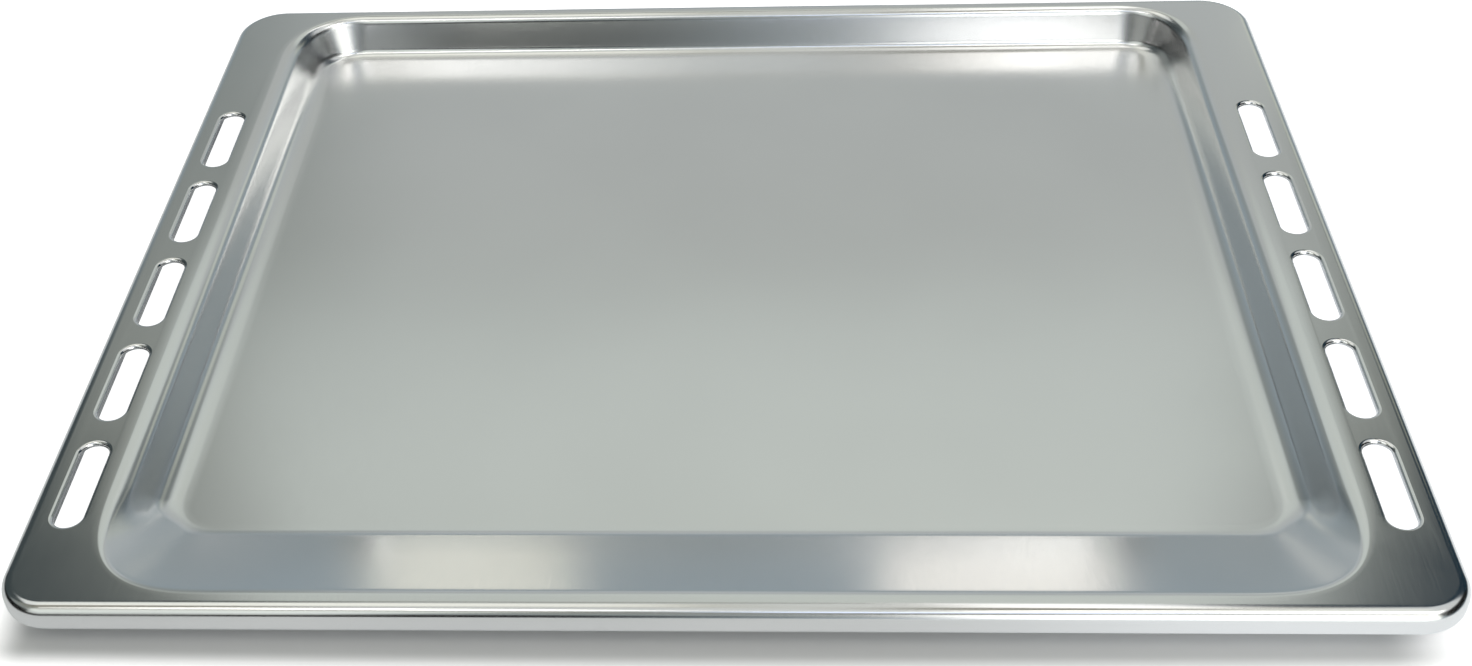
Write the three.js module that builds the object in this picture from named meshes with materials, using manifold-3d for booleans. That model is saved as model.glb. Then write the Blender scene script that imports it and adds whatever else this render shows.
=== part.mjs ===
// Oven tray: one pressed aluminium sheet, and the steel wire that its rim is rolled around.
// Millimetres. X runs along the wide side, the front edge is at -Y and Z is up.
// The origin lies under the middle of the tray, on the surface that it stands on.
import * as THREE from 'three';
import { mergeVertices } from 'three/addons/utils/BufferGeometryUtils.js';
import Module from 'manifold-3d';

// Overall sizes, over the rolled rim.
const TRAY_WIDTH = 465;
const TRAY_LENGTH = 375;
const PAN_DEPTH = 17.5; // from the flange down to the baking surface
const SHEET = 1;

// Flange: from the outside of the rim to the edge where the wall turns down.
const SIDE_FLANGE = 25.5;
const FRONT_FLANGE = 7.5;
const BACK_FLANGE = 6;

// Walls: how far each one reaches inwards, and the radii at its top and foot.
const SIDE_WALL = { run: 18.6, topRadius: 7.2, footRadius: 9.5 };
const FRONT_WALL = { run: 45, topRadius: 6.5, footRadius: 9 };
const BACK_WALL = { run: 10.3, topRadius: 4, footRadius: 4 };
const FRONT_BOWL = { run: 41, topRadius: 3, footRadius: 14 }; // in the middle of the front corners

// Corner radii in plan: at the rim, at the mouth of the pan and at its floor.
const RIM_CORNER = { front: 17.5, back: 20.5 };
const MOUTH_CORNER = { front: 35, back: 33 };
const FLOOR_CORNER = { front: 15, back: 10 };

// Rolled rim: a round shoulder, a short upright and a curl that is open at its inner lower edge.
const RIM_SHOULDER = 4.5;
const RIM_UPRIGHT = 2.6;
const RIM_CURL = 3.4;
const RIM_CURL_TURN = THREE.MathUtils.degToRad(150);

// Wire inside the rim, with a butt joint at the middle of the back.
const WIRE_CLEARANCE = 0.3;
const WIRE_BUTT_GAP = 2;

// Slots in both side flanges, each with its edge drawn down into a rounded lip.
const SLOTS_PER_SIDE = 5;
const SLOT_PITCH = 52.2;
const SLOT_LENGTH = 40;
const SLOT_WIDTH = 10;
const SLOT_INSET = 14.6; // from the outside of the rim to the slot's middle line
const SLOT_ROW_MIDDLE = -26.1; // along Y, ahead of the middle of the tray
const LIP_RADIUS = 1.5;
const LIP_DEPTH = 2;

// Facets.
const CORNER_STEPS = 6;
const WALL_ARC_STEPS = 4;
const RIM_ARC_STEPS = 5;
const SLOT_END_STEPS = 6;
const LIP_STEPS = 3;
const WIRE_SIDES = 8;
const CUT_MARGIN = 1; // how far a cutter runs past the sheet
const LIP_STEP_BELOW = 0.02; // keeps the lip's first edge just under the flange's face
const SAME_POINT = 1e-4; // corners of faces closer than this are one corner

const FLANGE_TOP = PAN_DEPTH + SHEET;
const SHOULDER_HEIGHT = FLANGE_TOP - RIM_SHOULDER;
const CURL_HEIGHT = SHOULDER_HEIGHT - RIM_UPRIGHT;
const PLAN = {
  left: -TRAY_WIDTH / 2,
  right: TRAY_WIDTH / 2,
  front: -TRAY_LENGTH / 2,
  back: TRAY_LENGTH / 2,
};
const CORNERS = [
  { x: 'right', y: 'back', start: 0, from: 'side', to: 'back' },
  { x: 'left', y: 'back', start: Math.PI / 2, from: 'back', to: 'side' },
  { x: 'left', y: 'front', start: Math.PI, from: 'side', to: 'front' },
  { x: 'right', y: 'front', start: (3 * Math.PI) / 2, from: 'front', to: 'side' },
];
const WALLS = { side: SIDE_WALL, front: FRONT_WALL, back: BACK_WALL, bowl: FRONT_BOWL };

const wasm = await Module();
wasm.setup();

/** A closed body through matched rings of points, with a flat fan over the first and the last ring. */
function loft(rings) {
  const count = rings[0].length;
  const points = rings.flat();
  const faces = [];
  for (let ring = 0; ring + 1 < rings.length; ring++) {
    for (let i = 0; i < count; i++) {
      const a = ring * count + i;
      const b = ring * count + ((i + 1) % count);
      faces.push(a, b, b + count, a, b + count, a + count);
    }
  }
  const addFan = (ring, offset, flip) => {
    const middle = ring.reduce((sum, p) => sum.add(p), new THREE.Vector3()).divideScalar(count);
    const hub = points.push(middle) - 1;
    for (let i = 0; i < count; i++) {
      const edge = [offset + i, offset + ((i + 1) % count)];
      faces.push(hub, ...(flip ? edge.reverse() : edge));
    }
  };
  addFan(rings[0], 0, true);
  addFan(rings.at(-1), (rings.length - 1) * count, false);
  const geometry = new THREE.BufferGeometry().setFromPoints(points);
  geometry.setIndex(faces);
  return geometry;
}

/** The solid that a closed geometry bounds. */
function toSolid(geometry) {
  const bare = geometry.clone();
  bare.deleteAttribute('normal');
  bare.deleteAttribute('uv');
  const merged = mergeVertices(bare, SAME_POINT);
  return new wasm.Manifold(
    new wasm.Mesh({
      numProp: 3,
      vertProperties: new Float32Array(merged.attributes.position.array),
      triVerts: new Uint32Array(merged.index.array),
    }),
  );
}

/** The geometry of a solid, with normals for its flat faces. */
function toGeometry(solid) {
  const { vertProperties, triVerts } = solid.getMesh();
  const geometry = new THREE.BufferGeometry();
  geometry.setAttribute('position', new THREE.BufferAttribute(vertProperties, 3));
  geometry.setIndex(new THREE.BufferAttribute(triVerts, 1));
  geometry.computeVertexNormals();
  return geometry;
}

/** The corner that a point of an outline belongs to, and how far round it the point lies, from 0 to 1. */
function cornerOf(i) {
  const corner = CORNERS[Math.floor(i / (CORNER_STEPS + 1))];
  return { corner, turn: (i % (CORNER_STEPS + 1)) / CORNER_STEPS };
}

/** The direction in plan that an outline faces at one of its points. */
function outlineAngle(i) {
  const { corner, turn } = cornerOf(i);
  return corner.start + (Math.PI / 2) * turn;
}

/** Points of a rectangle with round corners, counter-clockwise from its right side. */
function roundedOutline(edges, radius) {
  return Array.from({ length: CORNERS.length * (CORNER_STEPS + 1) }, (_, i) => {
    const { x, y } = cornerOf(i).corner;
    const angle = outlineAngle(i);
    return new THREE.Vector2(
      edges[x] + radius[y] * (Math.cos(angle) - Math.sign(edges[x])),
      edges[y] + radius[y] * (Math.sin(angle) - Math.sign(edges[y])),
    );
  });
}

/** The tray's outline moved inwards from the outside of the rim. */
function rimOutline(inset) {
  const edges = {
    left: PLAN.left + inset,
    right: PLAN.right - inset,
    front: PLAN.front + inset,
    back: PLAN.back - inset,
  };
  const { front, back } = RIM_CORNER;
  return roundedOutline(edges, { front: front - inset, back: back - inset });
}

/** The slope of a wall that touches both its top and its foot radius. */
function wallAngle({ run, topRadius, footRadius }) {
  const radii = topRadius + footRadius;
  const rise = PAN_DEPTH - radii;
  return Math.atan2(rise, run) + Math.asin(radii / Math.hypot(run, rise));
}

/** Stations down a wall from mouth to floor: the share of its run, and the drop below the flange. */
function wallStations(wall, offset) {
  const { run, topRadius, footRadius } = wall;
  const slope = wallAngle(wall);
  const station = (reach, drop, tilt) => ({
    share: (reach - offset * Math.sin(tilt)) / run,
    drop: drop + offset * Math.cos(tilt),
  });
  const stations = [];
  for (let i = 0; i <= WALL_ARC_STEPS; i++) {
    const tilt = (slope * i) / WALL_ARC_STEPS;
    stations.push(station(topRadius * Math.sin(tilt), topRadius * (1 - Math.cos(tilt)), tilt));
  }
  for (let i = WALL_ARC_STEPS; i >= 0; i--) {
    const tilt = (slope * i) / WALL_ARC_STEPS;
    const rise = footRadius * (1 - Math.cos(tilt));
    stations.push(station(run - footRadius * Math.sin(tilt), PAN_DEPTH - rise, tilt));
  }
  return stations;
}

/** A measure part of the way round a corner: the front ones pass through the bowl on the way. */
function blended(corner, turn, { from, bowl, to }) {
  const { lerp, smoothstep } = THREE.MathUtils;
  if (corner.y === 'back') return lerp(from, to, smoothstep(turn, 0, 1));
  return lerp(lerp(from, bowl, smoothstep(turn, 0, 0.5)), to, smoothstep(turn, 0.5, 1));
}

/** Rings of the pan from its mouth to its floor, each corner blending the two walls beside it. */
function panRings(offset) {
  const mouthEdges = {
    left: PLAN.left + SIDE_FLANGE,
    right: PLAN.right - SIDE_FLANGE,
    front: PLAN.front + FRONT_FLANGE,
    back: PLAN.back - BACK_FLANGE,
  };
  const floorEdges = {
    left: mouthEdges.left + SIDE_WALL.run,
    right: mouthEdges.right - SIDE_WALL.run,
    front: mouthEdges.front + FRONT_WALL.run,
    back: mouthEdges.back - BACK_WALL.run,
  };
  const mouth = roundedOutline(mouthEdges, MOUTH_CORNER);
  const floor = roundedOutline(floorEdges, FLOOR_CORNER);
  const stations = Object.fromEntries(
    Object.entries(WALLS).map(([name, wall]) => [name, wallStations(wall, offset)]),
  );
  return stations.side.map((_, k) =>
    mouth.map((point, i) => {
      const { corner, turn } = cornerOf(i);
      const from = stations[corner.from][k];
      const bowl = stations.bowl[k];
      const to = stations[corner.to][k];
      const share = blended(corner, turn, { from: from.share, bowl: bowl.share, to: to.share });
      const drop = blended(corner, turn, { from: from.drop, bowl: bowl.drop, to: to.drop });
      const plan = point.clone().lerp(floor[i], share);
      return new THREE.Vector3(plan.x, plan.y, FLANGE_TOP - drop);
    }),
  );
}

/** Rings of the rolled rim, from the flange over the shoulder and round the curl to its free edge. */
function rimRings(offset) {
  const ring = (radius, height, angle) => {
    const reach = radius - offset;
    return rimOutline(radius - reach * Math.cos(angle)).map(
      (p) => new THREE.Vector3(p.x, p.y, height + reach * Math.sin(angle)),
    );
  };
  const rings = [];
  for (let i = 0; i <= RIM_ARC_STEPS; i++) {
    rings.push(ring(RIM_SHOULDER, SHOULDER_HEIGHT, (Math.PI / 2) * (1 - i / RIM_ARC_STEPS)));
  }
  for (let i = 0; i <= RIM_ARC_STEPS; i++) {
    rings.push(ring(RIM_CURL, CURL_HEIGHT, (-RIM_CURL_TURN * i) / RIM_ARC_STEPS));
  }
  return rings;
}

/** Points of a slot's outline around the origin, grown by a margin. */
function slotOutline(margin) {
  const radius = SLOT_WIDTH / 2 + margin;
  const reach = (SLOT_LENGTH - SLOT_WIDTH) / 2;
  return [1, -1].flatMap((end) =>
    Array.from({ length: SLOT_END_STEPS + 1 }, (_, i) => {
      const angle = (end > 0 ? 0 : Math.PI) + (Math.PI * i) / SLOT_END_STEPS;
      return new THREE.Vector2(radius * Math.cos(angle), end * reach + radius * Math.sin(angle));
    }),
  );
}

/** The collar that a slot's edge forms under the flange. */
function slotCollar() {
  const depth = LIP_DEPTH - SHEET / 2;
  const outline = new THREE.Shape(slotOutline(SHEET));
  const collar = new THREE.ExtrudeGeometry(outline, { depth, bevelEnabled: false });
  return collar.translate(0, 0, FLANGE_TOP - LIP_DEPTH);
}

/** The space inside a slot, flared where the edge rolls over into the flange. */
function slotSpace() {
  const ring = (margin, height) => slotOutline(margin).map((p) => new THREE.Vector3(p.x, p.y, height));
  const rings = [ring(0, FLANGE_TOP - LIP_DEPTH - CUT_MARGIN)];
  for (let i = 0; i <= LIP_STEPS; i++) {
    const angle = ((Math.PI / 2) * i) / LIP_STEPS;
    const height = FLANGE_TOP - LIP_STEP_BELOW - LIP_RADIUS * (1 - Math.sin(angle));
    rings.push(ring(LIP_RADIUS * (1 - Math.cos(angle)), height));
  }
  rings.push(ring(LIP_RADIUS, FLANGE_TOP + CUT_MARGIN));
  return loft(rings);
}

/** The pressed sheet: floor, walls, flange and rolled rim in one piece, with its slots. */
function pressedPan() {
  const under = [...panRings(SHEET).reverse(), ...rimRings(SHEET)];
  const upper = [...rimRings(0).reverse(), ...panRings(0)];
  let pan = toSolid(loft([...under, ...upper]));
  for (const side of [-1, 1]) {
    for (let i = 0; i < SLOTS_PER_SIDE; i++) {
      const x = side * (TRAY_WIDTH / 2 - SLOT_INSET);
      const y = SLOT_ROW_MIDDLE + (i - (SLOTS_PER_SIDE - 1) / 2) * SLOT_PITCH;
      pan = pan.add(toSolid(slotCollar().translate(x, y, 0)));
      pan = pan.subtract(toSolid(slotSpace().translate(x, y, 0)));
    }
  }
  return toGeometry(pan);
}

/** The wire inside the rim, from one end of the butt joint round the tray to the other. */
function rimWire() {
  const radius = RIM_CURL - SHEET - WIRE_CLEARANCE;
  const stops = rimOutline(RIM_CURL).map((point, i) => ({ point, angle: outlineAngle(i) }));
  const leftOfBack = CORNER_STEPS + 1;
  const end = (x) => ({ point: new THREE.Vector2(x, stops[leftOfBack].point.y), angle: Math.PI / 2 });
  const path = [
    end(-WIRE_BUTT_GAP / 2),
    ...stops.slice(leftOfBack),
    ...stops.slice(0, leftOfBack),
    end(WIRE_BUTT_GAP / 2),
  ];
  const rings = path.map(({ point, angle }) =>
    Array.from({ length: WIRE_SIDES }, (_, k) => {
      const around = (2 * Math.PI * k) / WIRE_SIDES;
      const out = radius * Math.cos(around);
      const x = point.x + out * Math.cos(angle);
      const y = point.y + out * Math.sin(angle);
      return new THREE.Vector3(x, y, CURL_HEIGHT - radius * Math.sin(around));
    }),
  );
  return loft(rings);
}

/** A named piece with its own finish. */
function piece(name, geometry, finish) {
  const mesh = new THREE.Mesh(geometry, new THREE.MeshStandardMaterial(finish));
  mesh.name = name;
  return mesh;
}

const tray = new THREE.Group();
tray.name = 'oven_tray';
tray.add(
  piece('pressed_pan', pressedPan(), { color: 0xb2b5b3, roughness: 0.42, metalness: 1 }),
  piece('rim_wire', rimWire(), { color: 0x8d9094, roughness: 0.35, metalness: 1 }),
);

export default tray;
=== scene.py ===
"""Oven tray: a pressed aluminium pan and the steel wire in its rolled rim, in a plain white studio.

Metres, in the part's own frame: X runs along the wide side, the front edge is at -Y and Z is up.
"""

import logging
import math
from dataclasses import dataclass, field
from enum import Enum
from typing import Any, ClassVar, Iterable, Sequence

import bmesh
import bpy
import numpy as np
from mathutils import Matrix, Vector


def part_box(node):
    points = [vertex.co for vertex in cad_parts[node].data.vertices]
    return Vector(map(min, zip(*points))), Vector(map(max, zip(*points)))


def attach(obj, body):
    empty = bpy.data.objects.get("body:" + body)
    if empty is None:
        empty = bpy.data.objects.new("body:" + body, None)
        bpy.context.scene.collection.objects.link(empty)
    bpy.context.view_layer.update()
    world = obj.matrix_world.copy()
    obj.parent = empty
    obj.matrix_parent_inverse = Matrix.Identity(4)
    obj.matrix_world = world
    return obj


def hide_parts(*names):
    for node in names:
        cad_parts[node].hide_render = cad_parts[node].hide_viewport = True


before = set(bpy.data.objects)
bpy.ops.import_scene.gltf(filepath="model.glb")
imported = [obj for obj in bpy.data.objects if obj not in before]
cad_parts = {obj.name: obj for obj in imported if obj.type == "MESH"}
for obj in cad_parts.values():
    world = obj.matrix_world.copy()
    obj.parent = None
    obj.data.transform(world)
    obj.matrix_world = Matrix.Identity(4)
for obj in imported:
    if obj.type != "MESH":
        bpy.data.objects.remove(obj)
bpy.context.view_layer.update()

LOG = logging.getLogger("oven_tray")
MM = 0.001
PHOTO_WIDTH = 1472
BODY = "root"

Colour = tuple[float, float, float]
Point = tuple[float, float, float]
Span = tuple[float, float]

WHITE = (1.0, 1.0, 1.0, 1.0)
NOISE_MIDDLE = 0.5


class Wall(Enum):
    """The kinds of wall that lead from the flange down to the floor of the pan."""

    SIDE = "side"
    FRONT = "front"
    BACK = "back"


class Corner(Enum):
    """The corners of an outline, counter-clockwise: signs of X and Y, and the walls it turns between."""

    BACK_RIGHT = (1, 1, Wall.SIDE, Wall.BACK)
    BACK_LEFT = (-1, 1, Wall.BACK, Wall.SIDE)
    FRONT_LEFT = (-1, -1, Wall.SIDE, Wall.FRONT)
    FRONT_RIGHT = (1, -1, Wall.FRONT, Wall.SIDE)


class Facing(Enum):
    """What a panel of the studio is turned to."""

    TRAY = "tray"
    FLOOR = "floor"


class Slot(Enum):
    """Names of the two finishes; nothing in this script uses them."""

    ALUMINIUM = "aluminium_sheet"
    STEEL = "steel_wire"


class Value:
    """A socket of a shader tree, with arithmetic that adds Math nodes to the tree."""

    def __init__(self, graph: "Graph", socket: bpy.types.NodeSocket) -> None:
        """Keeps the socket and the tree that it belongs to."""
        self.graph = graph
        self.socket = socket

    def math(self, operation: str, first: Any, second: Any) -> "Value":
        """Adds one Math node.

        Args:
            operation: The node's operation.
            first: A number or a Value.
            second: A number or a Value.

        Returns:
            The node's result.
        """
        return self.graph.node("ShaderNodeMath", {"operation": operation}, {0: first, 1: second})

    def __add__(self, other: Any) -> "Value":
        """Self plus other."""
        return self.math("ADD", self, other)

    def __radd__(self, other: Any) -> "Value":
        """Other plus self."""
        return self.math("ADD", other, self)

    def __sub__(self, other: Any) -> "Value":
        """Self minus other."""
        return self.math("SUBTRACT", self, other)

    def __rsub__(self, other: Any) -> "Value":
        """Other minus self."""
        return self.math("SUBTRACT", other, self)

    def __mul__(self, other: Any) -> "Value":
        """Self times other."""
        return self.math("MULTIPLY", self, other)

    def __rmul__(self, other: Any) -> "Value":
        """Other times self."""
        return self.math("MULTIPLY", other, self)

    def __abs__(self) -> "Value":
        """Self without its sign."""
        return self.math("ABSOLUTE", self, 0.0)


class Graph:
    """The node tree of a material or of the world."""

    def __init__(self, owner: bpy.types.Material | bpy.types.World) -> None:
        """Starts an empty tree.

        Args:
            owner: The material, lamp or world that the tree belongs to.
        """
        owner.use_nodes = True
        self.tree = owner.node_tree
        self.tree.nodes.clear()

    def node(
        self,
        kind: str,
        settings: dict[str, Any] | None = None,
        sockets: dict[int | str, Any] | None = None,
        output: int | str = 0,
    ) -> Value:
        """Adds a node, sets it up and links it.

        Args:
            kind: The node's type.
            settings: The node's own settings.
            sockets: Numbers, colours, vectors or Values for its inputs, by index or by name.
            output: The output to return, by index or by name.

        Returns:
            The chosen output.
        """
        made = self.tree.nodes.new(kind)
        for name, setting in (settings or {}).items():
            setattr(made, name, setting)
        for name, source in (sockets or {}).items():
            if isinstance(source, Value):
                self.tree.links.new(source.socket, made.inputs[name])
            else:
                made.inputs[name].default_value = source
        has_output = len(made.outputs) > 0
        return Value(self, made.outputs[output] if has_output else made.inputs[0])

    def mix_colour(self, share: Any, low: Any, high: Any) -> Value:
        """Mixes two colours.

        Args:
            share: How much of the high colour shows, from 0 to 1.
            low: The colour at 0.
            high: The colour at 1.

        Returns:
            The mixed colour.
        """
        return self.node("ShaderNodeMix", {"data_type": "RGBA"}, {0: share, 6: low, 7: high}, 2)

    def ramp(self, value: Value, start: float, end: float, low: float = 0.0, high: float = 1.0) -> Value:
        """A smooth step of a value.

        Args:
            value: What is stepped.
            start: Where the step begins.
            end: Where it ends.
            low: The result before the start.
            high: The result after the end.

        Returns:
            The stepped value.
        """
        sockets = {0: value, 1: start, 2: end, 3: low, 4: high}
        return self.node("ShaderNodeMapRange", {"interpolation_type": "SMOOTHSTEP"}, sockets)

    def place(self) -> Value:
        """The point's place in the object's own frame, in metres."""
        return self.node("ShaderNodeTexCoord", output="Object")

    def along(self, vector: Value, axis: str) -> Value:
        """One component of a vector."""
        return self.node("ShaderNodeSeparateXYZ", None, {0: vector}, axis)

    def vignette(self, place: Value, feather: float) -> Value:
        """Full inside a rectangle and nothing along its edges.

        Args:
            place: The point's place on the rectangle, from 0 to 1 along X and Y.
            feather: The share of its half sizes that it fades over.

        Returns:
            A share from 0 to 1.
        """
        share = 1.0
        for axis in ("X", "Y"):
            to_edge = 1.0 - 2.0 * abs(self.along(place, axis) - 0.5)
            share = share * self.ramp(to_edge, 0.0, feather)
        return share

    def noise(self, vector: Value, per_metre: Point, detail: float) -> Value:
        """Noise stretched along the axes.

        Args:
            vector: The point's place.
            per_metre: How many blots there are in a metre, along each axis.
            detail: The number of finer layers.

        Returns:
            The noise, around 0.5.
        """
        scaled = self.node("ShaderNodeVectorMath", {"operation": "MULTIPLY"}, {0: vector, 1: per_metre})
        return self.node("ShaderNodeTexNoise", None, {"Vector": scaled, "Scale": 1.0, "Detail": detail})


class MeshDraft:
    """A mesh in the making: rings of points, strips between them and flat panels."""

    def __init__(self) -> None:
        """Starts an empty mesh."""
        self.bm = bmesh.new()

    def ring(self, points: np.ndarray) -> list[bmesh.types.BMVert]:
        """Adds a ring of points, not yet joined to anything."""
        return [self.bm.verts.new(point) for point in points]

    def strip(self, first: list, second: list, gaps: Iterable[int] = ()) -> None:
        """Joins two rings with faces.

        Args:
            first: One ring.
            second: The other ring, point for point.
            gaps: The stretches that are left open, each named by its first point.
        """
        count = len(first)
        for i in sorted(set(range(count)) - set(gaps)):
            j = (i + 1) % count
            self.bm.faces.new((first[i], first[j], second[j], second[i]))

    def cap(self, ring: list) -> None:
        """Closes a ring with one flat face."""
        self.bm.faces.new(ring)

    def panel(self, loops: Sequence[list]) -> None:
        """Fills a flat outline around its holes.

        Args:
            loops: The outline, then the holes, whose edges are all there already.
        """
        edges = []
        for loop in loops:
            for i, vert in enumerate(loop):
                edges.append(self.bm.edges.get((vert, loop[(i + 1) % len(loop)])))
        bmesh.ops.triangle_fill(self.bm, use_beauty=True, edges=edges, normal=(0, 0, 1))

    def make(self, name: str) -> bpy.types.Object:
        """Turns the draft into an object with smooth shading.

        Args:
            name: The piece's name.

        Returns:
            The object, linked to the scene.
        """
        bmesh.ops.recalc_face_normals(self.bm, faces=self.bm.faces)
        open_edges = sum(not edge.is_manifold for edge in self.bm.edges)
        mesh = bpy.data.meshes.new(name)
        self.bm.to_mesh(mesh)
        self.bm.free()
        mesh.shade_smooth()
        mesh.normals_split_custom_set_from_vertices(self._flat_keeping_normals(mesh))
        made = bpy.data.objects.new(name, mesh)
        bpy.context.scene.collection.objects.link(made)
        LOG.info("%s: %d faces, %d open edges", name, len(mesh.polygons), open_edges)
        return made

    @staticmethod
    def _flat_keeping_normals(mesh: bpy.types.Mesh) -> list[Vector]:
        """Vertex normals weighted by face area, so that flats stay flat beside small radii.

        Args:
            mesh: The mesh.

        Returns:
            One normal for each vertex.
        """
        normals = [Vector() for _ in mesh.vertices]
        for face in mesh.polygons:
            weighted = face.normal * face.area
            for index in face.vertices:
                normals[index] += weighted
        return [normal.normalized() for normal in normals]


@dataclass(frozen=True)
class Outline:
    """A rectangle with round corners in plan."""

    left: float
    right: float
    front: float
    back: float
    front_radius: float
    back_radius: float
    front_ease: float = 0.0
    back_ease: float = 0.0
    samples_per_chord: ClassVar[int] = 20

    @classmethod
    def bend(cls, ease: float, steps: int) -> np.ndarray:
        """One corner that cuts as deep as a radius of 1.

        Args:
            ease: 0 for a plain arc, up to 1 for a curve that sets in and dies away slowly.
            steps: How many chords the corner has.

        Returns:
            Rows of X and Y from its start on the right side, measured from the square corner.
        """
        fine = cls.samples_per_chord
        along = np.linspace(0.0, 1.0, fine * steps + 1)
        heading = math.pi / 2 * (along - ease * np.sin(2 * math.pi * along) / (2 * math.pi))
        forward = np.column_stack((-np.sin(heading), np.cos(heading)))
        path = np.concatenate((np.zeros((1, 2)), np.cumsum(forward[1:] + forward[:-1], axis=0)))
        path -= (0.0, path[-1, 1])
        cut = np.linalg.norm(path[fine * steps // 2])
        unit_arc_cut = math.sqrt(2) - 1
        return path[::fine] * unit_arc_cut / cut

    def points(self, steps: int) -> np.ndarray:
        """Points counter-clockwise from the right side.

        Args:
            steps: How many chords each corner has.

        Returns:
            An array of X and Y, one row for each point.
        """
        front = self.front_radius * self.bend(self.front_ease, steps)
        back = self.back_radius * self.bend(self.back_ease, steps)
        quarter = np.array(((0, 1), (-1, 0)))
        rows = []
        for index, corner in enumerate(Corner):
            sign_x, sign_y, *_ = corner.value
            square = (self.right if sign_x > 0 else self.left, self.back if sign_y > 0 else self.front)
            bend = back if sign_y > 0 else front
            rows.append(square + bend @ np.linalg.matrix_power(quarter, index))
        return np.concatenate(rows)


@dataclass(frozen=True)
class WallShape:
    """How one wall comes down from the flange to the floor, its bends eased over a short length."""

    run: float
    top_radius: float
    foot_radius: float
    ease: float
    samples: ClassVar[int] = 2001
    least_window: ClassVar[int] = 3
    even_share: ClassVar[float] = 0.3

    def slope(self, depth: float) -> float:
        """The angle of a wall that touches both its radii.

        Args:
            depth: The drop from the flange to the floor.

        Returns:
            The angle below the horizon, in radians.
        """
        radii = self.top_radius + self.foot_radius
        rise = depth - radii
        return math.atan2(rise, self.run) + math.asin(radii / math.hypot(self.run, rise))

    def stations(self, depth: float, offset: float, steps: int) -> np.ndarray:
        """Stations from the mouth of the pan to its floor.

        Args:
            depth: The drop from the flange to the floor.
            offset: How far below the upper face the stations lie, square to the sheet.
            steps: How many chords each radius has.

        Returns:
            An array of the share of the run and the drop below the flange.
        """
        tilt = self.slope(depth)
        radii = self.top_radius + self.foot_radius
        straight = (self.run - radii * math.sin(tilt)) / math.cos(tilt)
        bends = np.cumsum((0.0, self.top_radius * tilt, straight, self.foot_radius * tilt))
        fine = np.linspace(-self.ease / 2, bends[-1] + self.ease / 2, self.samples)
        step = fine[1] - fine[0]
        window = np.hanning(max(self.least_window, round(self.ease / step)))
        sharp = np.interp(fine, bends, (0.0, tilt, tilt, 0.0))
        half = window.size // 2
        lean = np.convolve(np.pad(sharp, half), window / window.sum(), "same")[half:-half]
        across = np.cumsum(np.cos(lean)) * step
        across += (self.run - across[-1] - across[0]) / 2
        down = np.cumsum(np.sin(lean)) * step
        down *= depth / down[-1]
        turned = np.cumsum(np.abs(np.gradient(lean)))
        measure = turned / turned[-1] + np.linspace(0.0, self.even_share, fine.size)
        picked = np.searchsorted(measure, np.linspace(measure[0], measure[-1], 2 * steps + 2))
        picked = np.clip(picked, 0, fine.size - 1)
        middle = np.column_stack((across, down))[picked]
        lean = lean[picked]
        lean[[0, -1]] = 0.0
        middle += offset * np.column_stack((-np.sin(lean), np.cos(lean)))
        middle[0, 1], middle[-1, 1] = offset, depth + offset
        return middle / (self.run, 1.0)


@dataclass(frozen=True)
class RolledRim:
    """The rim's section: a round shoulder, a short upright and a curl around the wire."""

    shoulder: float = 4.5 * MM
    upright: float = 2.6 * MM
    curl: float = 3.4 * MM
    curl_turn: float = math.radians(150)
    corner_front: float = 17.5 * MM
    corner_back: float = 20.5 * MM
    steps: int = 12
    edge_steps: int = 5

    def outline(self, box: tuple[Vector, Vector], inset: float) -> Outline:
        """The tray's outline moved inwards from the outside of the rim.

        Args:
            box: The tray's lowest and highest corners.
            inset: How far it moves.

        Returns:
            The outline.
        """
        low, high = box
        return Outline(
            low.x + inset,
            high.x - inset,
            low.y + inset,
            high.y - inset,
            self.corner_front - inset,
            self.corner_back - inset,
        )

    def curl_height(self) -> float:
        """The height of the curl's middle above the flange."""
        return -self.shoulder - self.upright

    def section(self, offset: float) -> list[tuple[float, float]]:
        """Points from the flange over the shoulder and round the curl to its free edge.

        Args:
            offset: How far inside the outer face the points lie.

        Returns:
            Pairs of the inset from the outside of the rim and the height above the flange.
        """
        points = []
        radius = self.shoulder - offset
        for angle in np.linspace(math.pi / 2, 0.0, self.steps + 1):
            inset = self.shoulder - radius * math.cos(angle)
            points.append((inset, radius * math.sin(angle) - self.shoulder))
        radius = self.curl - offset
        for angle in np.linspace(0.0, -self.curl_turn, 2 * self.steps + 1):
            inset = self.curl - radius * math.cos(angle)
            points.append((inset, radius * math.sin(angle) + self.curl_height()))
        return points

    def free_edge(self, sheet: float) -> list[tuple[float, float]]:
        """Points round the sheet's cut edge, from its inner face to its outer one.

        Args:
            sheet: The sheet's thickness.

        Returns:
            Pairs like those of the section.
        """
        radial = np.array((-math.cos(self.curl_turn), -math.sin(self.curl_turn)))
        onward = np.array((math.sin(self.curl_turn), -math.cos(self.curl_turn)))
        centre = (self.curl, self.curl_height()) + (self.curl - sheet / 2) * radial
        turns = np.linspace(0.0, math.pi, self.edge_steps + 1)[1:-1]
        return [tuple(centre + sheet / 2 * (np.sin(t) * onward - np.cos(t) * radial)) for t in turns]


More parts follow.
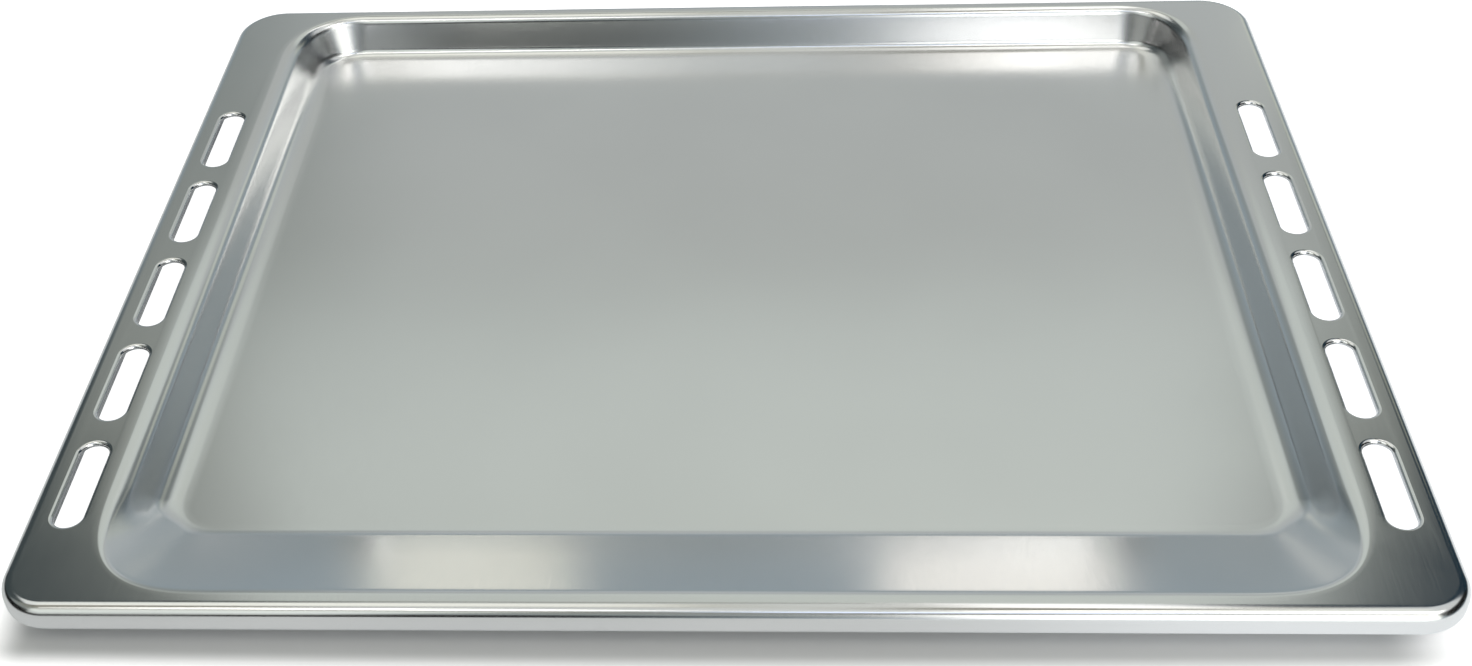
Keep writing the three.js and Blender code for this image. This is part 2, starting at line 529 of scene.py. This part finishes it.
@dataclass(frozen=True)
class SlotRow:
    """The slots along one side flange, each with its edge drawn down into a rounded lip."""

    count: int = 5
    pitch: float = 52.2 * MM
    length: float = 40 * MM
    width: float = 10 * MM
    inset: float = 14.6 * MM
    middle: float = -26.1 * MM
    lip_radius: float = 1.5 * MM
    lip_depth: float = 2 * MM
    end_steps: int = 20
    lip_steps: int = 8

    def centres(self, side: int, box: tuple[Vector, Vector]) -> list[tuple[float, float]]:
        """The middles of the slots.

        Args:
            side: 1 for the right flange, -1 for the left one.
            box: The tray's lowest and highest corners.

        Returns:
            Pairs of X and Y.
        """
        x = side * (box[1].x - self.inset)
        first = self.middle - self.pitch * (self.count - 1) / 2
        return [(x, first + i * self.pitch) for i in range(self.count)]

    def outline(self, centre: tuple[float, float], margin: float, height: float) -> np.ndarray:
        """One slot's outline.

        Args:
            centre: The slot's middle.
            margin: How far outside the clear slot it runs.
            height: Its height.

        Returns:
            An array of points.
        """
        radius = self.width / 2 + margin
        reach = (self.length - self.width) / 2
        half = np.linspace(0.0, math.pi, self.end_steps + 1)
        angles = np.concatenate((half, half + math.pi))
        ends = np.concatenate((np.full(half.size, reach), np.full(half.size, -reach)))
        x = centre[0] + radius * np.cos(angles)
        y = centre[1] + ends + radius * np.sin(angles)
        return np.column_stack((x, y, np.full(x.size, height)))

    def lip_section(self, sheet: float) -> list[tuple[float, float]]:
        """The lip's section from the flange's upper face round its lower edge to the under face.

        Args:
            sheet: The sheet's thickness.

        Returns:
            Pairs of the margin around the clear slot and the height above the flange.
        """
        turns = np.linspace(0.0, math.pi / 2, self.lip_steps + 1)
        roll = self.lip_radius
        inner = roll - sheet
        down = [(roll * (1 - math.sin(t)), -roll * (1 - math.cos(t))) for t in turns]
        edge = [
            (sheet / 2 * (1 - math.cos(t)), -self.lip_depth + sheet / 2 * (1 - math.sin(t)))
            for t in np.linspace(0.0, math.pi, self.lip_steps + 1)
        ]
        up = [(roll - inner * math.sin(t), -roll + inner * math.cos(t)) for t in turns[::-1]]
        return down + edge + up


@dataclass(frozen=True)
class SatinAluminium:
    """Pressed aluminium with a fine grain: smoothest where the tool drew it, duller in the corners."""

    colour: Colour = (0.815, 0.815, 0.815)
    shade: Colour = (0.785, 0.785, 0.785)
    cloud_per_metre: Point = (9.0, 9.0, 9.0)
    cloud_detail: float = 2.0
    cloud_edges: Span = (0.3, 0.7)
    drawn_roughness: float = 0.17
    floor_roughness: float = 0.2
    floor_blend: Span = (2.5 * MM, 0.3 * MM)
    corner_roughness: float = 0.25
    corner: Point = (190 * MM, 155 * MM, 0.0)
    corner_reach: Span = (25 * MM, 60 * MM)
    corner_depth: float = 1.5 * MM
    grain_per_metre: Point = (2600.0, 90.0, 90.0)
    grain_detail: float = 3.0
    grain_roughness: float = 0.06
    grain_depth: float = 0.004 * MM
    grain_strength: float = 0.35

    def material(self, floor_height: float, flange_height: float) -> bpy.types.Material:
        """Makes the finish.

        Args:
            floor_height: The height of the pan's baking surface.
            flange_height: The height of the flange's upper face.

        Returns:
            The material.
        """
        made = bpy.data.materials.new("satin_aluminium")
        graph = Graph(made)
        place = graph.place()
        height = graph.along(place, "Z")
        on_floor = graph.ramp(height, *(floor_height + rise for rise in self.floor_blend))
        grain = graph.noise(place, self.grain_per_metre, self.grain_detail)
        clouds = graph.noise(place, self.cloud_per_metre, self.cloud_detail)
        cloudy = graph.ramp(clouds, *self.cloud_edges)
        colour = graph.mix_colour(cloudy, (*self.shade, 1.0), (*self.colour, 1.0))
        spread = self.floor_roughness - self.drawn_roughness
        smooth = self.drawn_roughness + on_floor * spread
        quarter = graph.node("ShaderNodeVectorMath", {"operation": "ABSOLUTE"}, {0: place})
        to_corner = {0: quarter, 1: self.corner}
        away = graph.node("ShaderNodeVectorMath", {"operation": "DISTANCE"}, to_corner, "Value")
        in_corner = graph.ramp(away, *reversed(self.corner_reach))
        dull = in_corner * graph.ramp(height, flange_height, flange_height - self.corner_depth)
        uneven = (grain - NOISE_MIDDLE) * self.grain_roughness
        roughness = smooth + dull * (self.corner_roughness - smooth) + uneven
        relief = {"Strength": self.grain_strength, "Distance": self.grain_depth, "Height": grain}
        bump = graph.node("ShaderNodeBump", None, relief)
        shader = graph.node(
            "ShaderNodeBsdfPrincipled",
            None,
            {"Base Color": colour, "Metallic": 1.0, "Roughness": roughness, "Normal": bump},
        )
        graph.node("ShaderNodeOutputMaterial", None, {"Surface": shader})
        return made


@dataclass(frozen=True)
class DrawnSteel:
    """Galvanised steel wire with fine draw marks along it."""

    colour: Colour = (0.5, 0.51, 0.53)
    dull: Colour = (0.4, 0.41, 0.43)
    spangle_per_metre: Point = (420.0, 420.0, 420.0)
    spangle_edges: Span = (0.35, 0.65)
    marks_per_metre: Point = (300.0, 300.0, 4000.0)
    mark_depth: float = 0.01 * MM
    mark_strength: float = 0.3
    mark_roughness: float = 0.2
    detail: float = 2.0
    roughness: float = 0.36

    def material(self) -> bpy.types.Material:
        """Makes the finish.

        Returns:
            The material.
        """
        made = bpy.data.materials.new("drawn_steel")
        graph = Graph(made)
        place = graph.place()
        spangle = graph.noise(place, self.spangle_per_metre, self.detail)
        bright = graph.ramp(spangle, *self.spangle_edges)
        marks = graph.noise(place, self.marks_per_metre, self.detail)
        colour = graph.mix_colour(bright, (*self.dull, 1.0), (*self.colour, 1.0))
        relief = {"Strength": self.mark_strength, "Distance": self.mark_depth, "Height": marks}
        bump = graph.node("ShaderNodeBump", None, relief)
        roughness = self.roughness + (marks - NOISE_MIDDLE) * self.mark_roughness
        shader = graph.node(
            "ShaderNodeBsdfPrincipled",
            None,
            {"Base Color": colour, "Metallic": 1.0, "Roughness": roughness, "Normal": bump},
        )
        graph.node("ShaderNodeOutputMaterial", None, {"Surface": shader})
        return made


@dataclass
class PressedPan:
    """The pressed sheet: floor, walls, slotted flange and rolled rim in one piece."""

    depth: float = 17.5 * MM
    sheet: float = 1 * MM
    side_flange: float = 25.5 * MM
    front_flange: float = 7.5 * MM
    back_flange: float = 6 * MM
    walls: dict[Wall, WallShape] = field(default_factory=lambda: {
        Wall.SIDE: WallShape(run=18.6 * MM, top_radius=7.2 * MM, foot_radius=9.5 * MM, ease=6 * MM),
        Wall.FRONT: WallShape(run=45 * MM, top_radius=6.5 * MM, foot_radius=9 * MM, ease=5 * MM),
        Wall.BACK: WallShape(run=10.3 * MM, top_radius=4 * MM, foot_radius=4 * MM, ease=2 * MM),
    })
    mouth_corner_front: float = 35 * MM
    mouth_corner_back: float = 33 * MM
    floor_corner_front: float = 15 * MM
    floor_corner_back: float = 10 * MM
    front_bowl: WallShape = WallShape(run=41 * MM, top_radius=3 * MM, foot_radius=14 * MM, ease=4 * MM)
    front_corner_ease: float = 0.8
    floor_corner_ease: float = 0.3
    back_corner_ease: float = 0.3
    rim: RolledRim = field(default_factory=RolledRim)
    slots: SlotRow = field(default_factory=SlotRow)
    finish: SatinAluminium = field(default_factory=SatinAluminium)
    corner_steps: int = 32
    wall_steps: int = 14

    def __post_init__(self) -> None:
        """Takes the overall box from the frame."""
        self.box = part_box("pressed_pan")
        self.top = self.box[1].z

    def mouth(self) -> Outline:
        """The edge where the flange turns down into the pan.

        Returns:
            The outline.
        """
        low, high = self.box
        return Outline(
            low.x + self.side_flange,
            high.x - self.side_flange,
            low.y + self.front_flange,
            high.y - self.back_flange,
            self.mouth_corner_front,
            self.mouth_corner_back,
            self.front_corner_ease,
            self.back_corner_ease,
        )

    def floor(self) -> Outline:
        """The edge where the walls have flattened out into the floor.

        Returns:
            The outline.
        """
        mouth = self.mouth()
        side = self.walls[Wall.SIDE].run
        return Outline(
            mouth.left + side,
            mouth.right - side,
            mouth.front + self.walls[Wall.FRONT].run,
            mouth.back - self.walls[Wall.BACK].run,
            self.floor_corner_front,
            self.floor_corner_back,
            self.floor_corner_ease,
            self.back_corner_ease,
        )

    @staticmethod
    def ease(share: np.ndarray) -> np.ndarray:
        """A smooth step of a share, from 0 to 1."""
        held = np.clip(share, 0.0, 1.0)
        return held * held * (3 - 2 * held)

    def pan_rings(self, offset: float) -> list[np.ndarray]:
        """Rings from the mouth of the pan to its floor, each corner blending the walls beside it.

        Args:
            offset: 0 for the upper face, the sheet's thickness for the under face.

        Returns:
            Arrays of points.
        """
        mouth = self.mouth().points(self.corner_steps)
        floor = self.floor().points(self.corner_steps)
        stations = {
            wall: shape.stations(self.depth, offset, self.wall_steps)
            for wall, shape in self.walls.items()
        }
        bowl = self.front_bowl.stations(self.depth, offset, self.wall_steps)
        turn = np.linspace(0.0, 1.0, self.corner_steps + 1)[:, None, None]
        blended = []
        for corner in Corner:
            *_, first_wall, last_wall = corner.value
            start, end = stations[first_wall], stations[last_wall]
            if corner in (Corner.FRONT_LEFT, Corner.FRONT_RIGHT):
                into, out = self.ease(2 * turn), self.ease(2 * turn - 1)
                blended.append(start + (bowl - start) * into + (end - bowl) * out)
            else:
                blended.append(start + (end - start) * self.ease(turn))
        table = np.concatenate(blended)
        rings = []
        for k in range(table.shape[1]):
            share, drop = table[:, k, 0], table[:, k, 1]
            plan = mouth + (floor - mouth) * share[:, None]
            rings.append(np.column_stack((plan, self.top - drop)))
        return rings

    def rim_rings(self, section: list[tuple[float, float]]) -> list[np.ndarray]:
        """Rings of the rolled rim.

        Args:
            section: Pairs of the inset from the outside of the rim and the height above the flange.

        Returns:
            Arrays of points.
        """
        rings = []
        for inset, height in section:
            plan = self.rim.outline(self.box, inset).points(self.corner_steps)
            rings.append(np.column_stack((plan, np.full(len(plan), self.top + height))))
        return rings

    def flange_stretch(self, side: int) -> list[int]:
        """The points of a ring along one side flange, from its back corner to half-way round its front one.

        Args:
            side: 1 for the right flange, -1 for the left one.

        Returns:
            The points' places in the ring, in the ring's own order.
        """
        per_corner = self.corner_steps + 1
        into_corner = self.corner_steps // 2
        total = len(Corner) * per_corner
        start = total - 1 - into_corner if side > 0 else total // 2 - 1
        return [(start + i) % total for i in range(into_corner + 2)]

    def add_slotted_flange(self, draft: MeshDraft, side: int, faces: Sequence[tuple[list, list]]) -> None:
        """Fills one side flange round its slots.

        Args:
            draft: The mesh in the making.
            side: 1 for the right flange, -1 for the left one.
            faces: The rim ring and the mouth ring of the upper face, then those of the under face.
        """
        lips = []
        for centre in self.slots.centres(side, self.box):
            section = self.slots.lip_section(self.sheet)
            rings = [draft.ring(self.slots.outline(centre, m, self.top + h)) for m, h in section]
            for first, second in zip(rings, rings[1:]):
                draft.strip(first, second)
            lips.append((rings[0], rings[-1]))
        stretch = self.flange_stretch(side)
        for layer, (rim, mouth) in enumerate(faces):
            outline = [rim[i] for i in stretch] + [mouth[i] for i in reversed(stretch)]
            draft.panel([outline, *(lip[layer] for lip in lips)])

    def build(self) -> bpy.types.Object:
        """Builds the sheet and dresses it.

        Returns:
            The piece.
        """
        draft = MeshDraft()
        under_pan = [draft.ring(r) for r in self.pan_rings(self.sheet)]
        under_rim = [draft.ring(r) for r in self.rim_rings(self.rim.section(self.sheet))]
        edge = [draft.ring(r) for r in self.rim_rings(self.rim.free_edge(self.sheet))]
        upper_rim = [draft.ring(r) for r in self.rim_rings(self.rim.section(0.0))]
        upper_pan = [draft.ring(r) for r in self.pan_rings(0.0)]
        for rings in (under_pan, [*under_rim, *edge, *upper_rim[::-1]], upper_pan):
            for first, second in zip(rings, rings[1:]):
                draft.strip(first, second)
        faces = ((upper_rim[0], upper_pan[0]), (under_rim[0], under_pan[0]))
        slotted = [i for side in (-1, 1) for i in self.flange_stretch(side)[:-1]]
        for rim, mouth in faces:
            draft.strip(rim, mouth, slotted)
        for side in (-1, 1):
            self.add_slotted_flange(draft, side, faces)
        draft.cap(upper_pan[-1])
        draft.cap(under_pan[-1])
        piece = draft.make("aluminium_pan")
        piece.data.materials.append(self.finish.material(self.sheet, self.top))
        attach(piece, BODY)
        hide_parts("pressed_pan")
        return piece


@dataclass
class RimWire:
    """The wire that the rim is rolled around, butted at the middle of the back."""

    pan: PressedPan
    clearance: float = 0.3 * MM
    butt_gap: float = 2 * MM
    end_round: float = 0.6 * MM
    sides: int = 20
    finish: DrawnSteel = field(default_factory=DrawnSteel)

    def path(self) -> list[tuple[np.ndarray, float]]:
        """Stops along the wire's middle line.

        Returns:
            Pairs of a point in plan and the angle that the outside of the rim faces there.
        """
        rim = self.pan.rim
        steps = self.pan.corner_steps
        points = rim.outline(self.pan.box, rim.curl).points(steps)
        angles = np.concatenate([
            np.linspace(0.0, math.pi / 2, steps + 1) + i * math.pi / 2 for i in range(len(Corner))
        ])
        left_of_back = steps + 1
        order = np.roll(np.arange(len(points)), -left_of_back)
        back = points[left_of_back][1]
        stops = [(points[i], angles[i]) for i in order]
        half = self.butt_gap / 2
        start = [(np.array((-half - r, back)), math.pi / 2) for r in (0.0, self.end_round)]
        end = [(np.array((half + r, back)), math.pi / 2) for r in (self.end_round, 0.0)]
        return [*start, *stops, *end]

    def build(self) -> bpy.types.Object:
        """Builds the wire and dresses it.

        Returns:
            The piece.
        """
        rim = self.pan.rim
        full = rim.curl - self.pan.sheet - self.clearance
        height = self.pan.top + rim.curl_height()
        around = np.arange(self.sides) * 2 * math.pi / self.sides
        stops = self.path()
        draft = MeshDraft()
        rings = []
        for k, (point, angle) in enumerate(stops):
            radius = full - self.end_round if k in (0, len(stops) - 1) else full
            out = radius * np.cos(around)
            x = point[0] + out * math.cos(angle)
            y = point[1] + out * math.sin(angle)
            rings.append(draft.ring(np.column_stack((x, y, height + radius * np.sin(around)))))
        for first, second in zip(rings, rings[1:]):
            draft.strip(first, second)
        draft.cap(rings[0])
        draft.cap(rings[-1])
        piece = draft.make("steel_rim_wire")
        piece.data.materials.append(self.finish.material())
        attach(piece, BODY)
        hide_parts("rim_wire")
        return piece


@dataclass(frozen=True)
class Panel:
    """A rectangle in the studio, turned to the tray or straight down."""

    name: str
    centre: Point
    width: float
    height: float
    facing: Facing = Facing.TRAY

    def placement(self) -> Matrix:
        """The matrix that puts the panel in its place.

        Returns:
            The matrix, with the panel facing along its own -Z.
        """
        straight_down = self.facing is Facing.FLOOR
        direction = Vector((0, 0, -1)) if straight_down else -Vector(self.centre)
        turned = direction.to_track_quat("-Z", "Y").to_matrix().to_4x4()
        return Matrix.Translation(self.centre) @ turned


@dataclass(frozen=True)
class Softbox(Panel):
    """A soft lamp that lights the tray and shows in its metal."""

    radiance: float = 1.0
    tint: Colour = (1.0, 1.0, 1.0)
    feather: float = 0.0

    def soften(self, light: bpy.types.Light) -> None:
        """Lets the lamp fade towards its edges over the feathered share of its half sizes.

        Args:
            light: The lamp's light.
        """
        graph = Graph(light)
        place = graph.node("ShaderNodeNewGeometry", output="Parametric")
        share = graph.vignette(place, self.feather)
        glow = graph.node("ShaderNodeEmission", None, {"Color": share})
        graph.node("ShaderNodeOutputLight", None, {"Surface": glow})

    def build(self) -> bpy.types.Object:
        """Makes the lamp.

        Returns:
            The lamp.
        """
        light = bpy.data.lights.new(self.name, "AREA")
        light.shape = "RECTANGLE"
        light.size = self.width
        light.size_y = self.height
        light.energy = self.radiance * math.pi * self.width * self.height
        light.color = self.tint
        if self.feather:
            self.soften(light)
        lamp = bpy.data.objects.new(self.name, light)
        lamp.matrix_world = self.placement()
        lamp.visible_camera = False
        bpy.context.scene.collection.objects.link(lamp)
        return lamp


@dataclass(frozen=True)
class DarkCard(Panel):
    """A dark card that gives the metal its dark edges."""

    level: Colour = (0.0, 0.0, 0.0)
    feather: float = 0.35

    def finish(self) -> bpy.types.Material:
        """The card's finish: as dark as the card looks in the lit room, and clear towards its edges.

        Returns:
            The material.
        """
        made = bpy.data.materials.new(self.name)
        graph = Graph(made)
        place = graph.node("ShaderNodeTexCoord", output="Generated")
        share = graph.vignette(place, self.feather)
        clear = graph.node("ShaderNodeBsdfTransparent")
        dark = graph.node("ShaderNodeEmission", None, {"Color": (*self.level, 1.0)})
        shader = graph.node("ShaderNodeMixShader", None, {0: share, 1: clear, 2: dark})
        graph.node("ShaderNodeOutputMaterial", None, {"Surface": shader})
        return made

    def build(self) -> bpy.types.Object:
        """Makes the card.

        Returns:
            The card.
        """
        x, y = self.width / 2, self.height / 2
        draft = MeshDraft()
        draft.cap(draft.ring(np.array([(-x, -y, 0.0), (x, -y, 0.0), (x, y, 0.0), (-x, y, 0.0)])))
        card = draft.make(self.name)
        card.data.materials.append(self.finish())
        card.matrix_world = self.placement()
        card.visible_camera = False
        return card


@dataclass
class Studio:
    """The pale floor, the soft lamps, the dark cards and the white surroundings.

    The floor glows white to the camera, except in a strip along the front edge: the strip's outline and
    fading edges are a painted shadow, and inside it the tray's cast shadow shows.
    """

    floor_size: float = 8.0
    floor_colour: Colour = (0.68, 0.68, 0.68)
    floor_drop: float = 0.2 * MM
    open_glow: float = 0.93
    # shadow_*: where the painted shadow strip lies on the floor and how far its edges fade; outside it the
    # glow is lifted to white.
    shadow_back: float = -165 * MM
    shadow_back_fade: float = 20 * MM
    shadow_front: float = -188 * MM
    shadow_front_fade: float = 12 * MM
    shadow_bow: float = 0.035
    shadow_left: float = -224 * MM
    shadow_left_fade: float = 20 * MM
    shadow_right: float = 205 * MM
    shadow_right_fade: float = 35 * MM
    # floor_glow and the two fields after it: the floor's glow to glossy rays alone, a painted reflection
    # that grows towards +X so the metal shows a brighter floor on its right.
    floor_glow: Colour = (0.17, 0.18, 0.19)
    painted_reflection_stretch: Span = (20 * MM, 190 * MM)
    painted_reflection_peak: float = 2.6
    room_low: Colour = (0.31, 0.376, 0.417)
    room_high: Colour = (0.213, 0.202, 0.142)
    lamps: Sequence[Softbox] = (
        Softbox(
            "back_panel", (0.06, 1.42, 0.74), 1.55, 0.75,
            radiance=0.221, tint=(0.98, 0.98, 1.0), feather=0.36,
        ),
        Softbox(
            "back_top", (-0.01, 1.06, 1.2), 1.54, 0.59,
            radiance=0.405, tint=(0.92, 1.0, 0.98), feather=0.2,
        ),
        Softbox(
            "back_left_strip", (-0.37, 1.55, 0.11), 0.32, 0.12,
            radiance=1.05, tint=(1.0, 0.9, 0.68), feather=0.4,
        ),
        Softbox(
            "back_right_strip", (0.295, 1.57, 0.09), 0.33, 0.17,
            radiance=1.03, tint=(1.0, 0.89, 0.76), feather=0.2,
        ),
        Softbox(
            "overhead_left", (-0.74, 0.16, 1.5), 1.4, 0.86,
            facing=Facing.FLOOR, radiance=0.85, tint=(0.98, 1.0, 0.96), feather=0.15,
        ),
        Softbox(
            "overhead_middle", (-0.19, -0.23, 1.5), 0.81, 2.2,
            facing=Facing.FLOOR, radiance=0.5, tint=(0.88, 0.94, 1.0), feather=0.2,
        ),
        Softbox(
            "overhead_front_right", (0.91, -0.91, 1.5), 1.48, 0.58,
            facing=Facing.FLOOR, radiance=1.95, tint=(1.0, 0.97, 0.94), feather=0.25,
        ),
        Softbox(
            "right_fill", (0.95, -0.36, 1.24), 1.81, 1.22,
            radiance=0.72, tint=(0.97, 1.0, 0.99), feather=0.23,
        ),
        Softbox(
            "front_left", (-0.45, -0.83, 1.29), 0.82, 0.34,
            radiance=2.3, tint=(1.0, 0.98, 0.95), feather=0.5,
        ),
        Softbox(
            "front_left_low", (-0.76, -1.19, 0.75), 0.97, 0.98,
            radiance=0.68, tint=(0.95, 1.0, 0.95), feather=0.2,
        ),
        Softbox(
            "front_right", (0.77, -1.3, 0.54), 0.85, 1.13,
            radiance=1.4, tint=(1.0, 0.99, 0.92), feather=0.2,
        ),
        Softbox(
            "front_middle", (0.41, -1.48, 0.44), 0.49, 0.93,
            radiance=1.558, tint=(1.0, 0.98, 0.96), feather=0.2,
        ),
        Softbox(
            "overhead_right", (0.33, 0.4, 1.5), 0.44, 1.2,
            facing=Facing.FLOOR, radiance=1.3, feather=0.2,
        ),
        Softbox(
            "back_right_fill", (0.92, 1.17, 0.59), 0.84, 0.34,
            radiance=0.287, tint=(1.0, 0.99, 0.76), feather=0.2,
        ),
        Softbox(
            "front_high", (0.21, -1.08, 1.17), 0.65, 0.3,
            radiance=1.578, tint=(0.66, 0.76, 1.0), feather=0.49,
        ),
    )
    cards: Sequence[DarkCard] = (
        DarkCard("card_left", (-1.6, 0.69, 1.18), 2.05, 2.64, level=(0.047, 0.061, 0.064)),
        DarkCard("card_right", (1.53, 0.7, 1.25), 2.01, 2.95, level=(0.009, 0.025, 0.041)),
        DarkCard("card_left_low", (-2.03, -0.46, 0.26), 5.9, 0.5),
        DarkCard("card_right_low", (1.76, 0.04, 1.13), 4.13, 2.7),
        DarkCard("card_front_low", (-1.62, -1.31, 0.29), 5.79, 1.6),
    )

    def build_floor(self) -> bpy.types.Object:
        """Lays the floor, white to the camera, with a painted shadow strip along the front edge in which
        the tray's cast shadow shows.

        Returns:
            The floor.
        """
        half = self.floor_size / 2
        low = -self.floor_drop
        corners = [(-half, -half, low), (half, -half, low), (half, half, low), (-half, half, low)]
        draft = MeshDraft()
        draft.cap(draft.ring(np.array(corners)))
        floor = draft.make("studio_floor")
        material = bpy.data.materials.new("pale_floor")
        graph = Graph(material)
        place = graph.place()
        across = graph.along(place, "X")
        ahead = graph.along(place, "Y")
        # Painted shadow: the glow is taken away in a strip placed by position, so the shade there is partly
        # cast and partly painted.
        behind = graph.ramp(ahead, self.shadow_back, self.shadow_back + self.shadow_back_fade)
        bowed = ahead - across * across * self.shadow_bow
        before = graph.ramp(bowed, self.shadow_front, self.shadow_front - self.shadow_front_fade)
        left = graph.ramp(across, self.shadow_left, self.shadow_left - self.shadow_left_fade)
        right = graph.ramp(across, self.shadow_right, self.shadow_right + self.shadow_right_fade)
        clear_of_painted_shadow = 1.0 - (1.0 - behind) * (1.0 - before) * (1.0 - left) * (1.0 - right)
        level = clear_of_painted_shadow * self.open_glow
        seen = graph.node("ShaderNodeLightPath", output="Is Camera Ray")
        tint = graph.mix_colour(seen, (*self.floor_glow, 1.0), WHITE)
        # Painted reflection: only glossy rays see this floor glow, and it rises towards +X.
        mirrored = graph.node("ShaderNodeLightPath", output="Is Glossy Ray")
        in_metal = mirrored * graph.ramp(across, *self.painted_reflection_stretch, 1.0, self.painted_reflection_peak)
        strength = seen * level + in_metal
        glow = graph.node("ShaderNodeEmission", None, {"Color": tint, "Strength": strength})
        diffuse = graph.node("ShaderNodeBsdfDiffuse", None, {"Color": (*self.floor_colour, 1.0)})
        shader = graph.node("ShaderNodeAddShader", None, {0: diffuse, 1: glow})
        graph.node("ShaderNodeOutputMaterial", None, {"Surface": shader})
        floor.data.materials.append(material)
        return floor

    def build_world(self) -> None:
        """Sets the surroundings: white to the camera, and a dim room to the metal."""
        world = bpy.data.worlds.new("studio_room")
        bpy.context.scene.world = world
        graph = Graph(world)
        camera = graph.node("ShaderNodeLightPath", output="Is Camera Ray")
        direction = graph.node("ShaderNodeTexCoord", output="Generated")
        height = graph.node("ShaderNodeClamp", None, {0: graph.along(direction, "Z")})
        room = graph.mix_colour(height, (*self.room_low, 1.0), (*self.room_high, 1.0))
        colour = graph.mix_colour(camera, room, WHITE)
        background = graph.node("ShaderNodeBackground", None, {"Color": colour})
        graph.node("ShaderNodeOutputWorld", None, {"Surface": background})

    def build(self) -> None:
        """Builds the whole studio."""
        self.build_floor()
        self.build_world()
        for panel in (*self.lamps, *self.cards):
            panel.build()


@dataclass(frozen=True)
class PhotoCamera:
    """The camera at the photograph's viewing angle."""

    position: Point = (0.01847, -0.5575, 0.44151)
    heading: float = math.radians(-3.964)
    pitch: float = math.radians(-40.063)
    roll: float = math.radians(-2.806)
    focal_pixels: float = 1800.35
    axis_shift: Span = (53.26, 5.68)
    sensor_width: float = 36.0
    clip_start: float = 10 * MM

    def build(self) -> bpy.types.Object:
        """Makes the camera and gives it to the scene.

        Returns:
            The camera.
        """
        data = bpy.data.cameras.new("photo_camera")
        data.sensor_fit = "HORIZONTAL"
        data.sensor_width = self.sensor_width
        data.lens = self.focal_pixels * self.sensor_width / PHOTO_WIDTH
        data.shift_x = self.axis_shift[0] / PHOTO_WIDTH
        data.shift_y = self.axis_shift[1] / PHOTO_WIDTH
        data.clip_start = self.clip_start
        forward = Vector((
            math.sin(self.heading) * math.cos(self.pitch),
            math.cos(self.heading) * math.cos(self.pitch),
            math.sin(self.pitch),
        ))
        level = forward.cross(Vector((0, 0, 1))).normalized()
        above = level.cross(forward)
        right = math.cos(self.roll) * level + math.sin(self.roll) * above
        matrix = Matrix((right, right.cross(forward), -forward)).transposed().to_4x4()
        matrix.translation = self.position
        camera = bpy.data.objects.new("photo_camera", data)
        camera.matrix_world = matrix
        bpy.context.scene.collection.objects.link(camera)
        bpy.context.scene.camera = camera
        return camera


def main() -> None:
    """Builds the camera, the studio and the pieces in order."""
    logging.basicConfig(level=logging.INFO, format="%(name)s: %(message)s")
    bpy.context.scene.view_settings.view_transform = "Standard"
    PhotoCamera().build()
    Studio().build()
    pan = PressedPan()
    for piece in (pan.build(), RimWire(pan).build()):
        LOG.info("%s rides on %s", piece.name, BODY)


if __name__ == "__main__":
    main()
